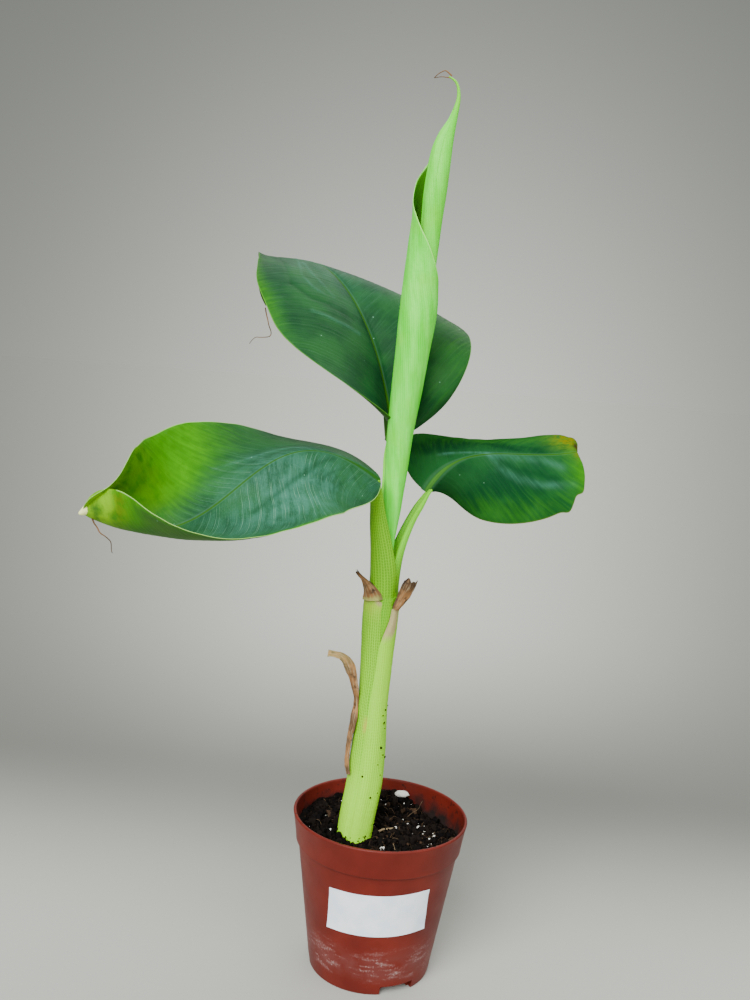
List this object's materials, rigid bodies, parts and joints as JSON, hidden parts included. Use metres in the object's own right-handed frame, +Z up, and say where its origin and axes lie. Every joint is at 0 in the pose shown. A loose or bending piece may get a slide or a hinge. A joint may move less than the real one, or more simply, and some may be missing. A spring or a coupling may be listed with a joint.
{
  "type": "potted banana plant",
  "caption": "Young banana plant with spreading leaves and a rolled new leaf on a sheathed stem, growing in a small tapered nursery pot of soil.",
  "frame": {"origin": "centre of the pot's flat underside", "axes": "+Z up, -Y the front of the plant, +X to the right seen from the front"},
  "size_m": [0.2373, 0.1917, 0.4498],
  "materials": {
    "pot_plastic": "satin terracotta-red polypropylene, scuffed and chalky near the foot",
    "label_paper": "matt white paper, blank",
    "soil": "damp dark peat with coir and fine roots",
    "perlite": "rough white perlite",
    "stem": "satin pale green sheaths with fine long fibres",
    "stalk": "satin bright green",
    "leaf": "satin dark green with a pale midrib, parallel veins and yellowing margins",
    "young_leaf": "satin pale yellow-green",
    "dead_sheath": "dry brown papery fibre"
  },
  "bodies": {
    "root": {"pot": "pot_plastic", "pot_label": "label_paper", "soil": "soil", "perlite_1": "perlite", "perlite_2": "perlite", "perlite_3": "perlite", "perlite_4": "perlite", "pseudostem": "stem", "sheath_left": "stem", "sheath_right": "stem", "stalk_left": "stalk", "stalk_right": "stalk", "stalk_back": "stalk", "leaf_left": "leaf", "leaf_back": "leaf", "leaf_right": "leaf", "rolled_leaf": "young_leaf", "stump_left": "dead_sheath", "stump_right": "dead_sheath", "husk": "dead_sheath", "thread_left": "dead_sheath", "thread_back": "dead_sheath", "thread_top": "dead_sheath"}
  },
  "joints": []
}
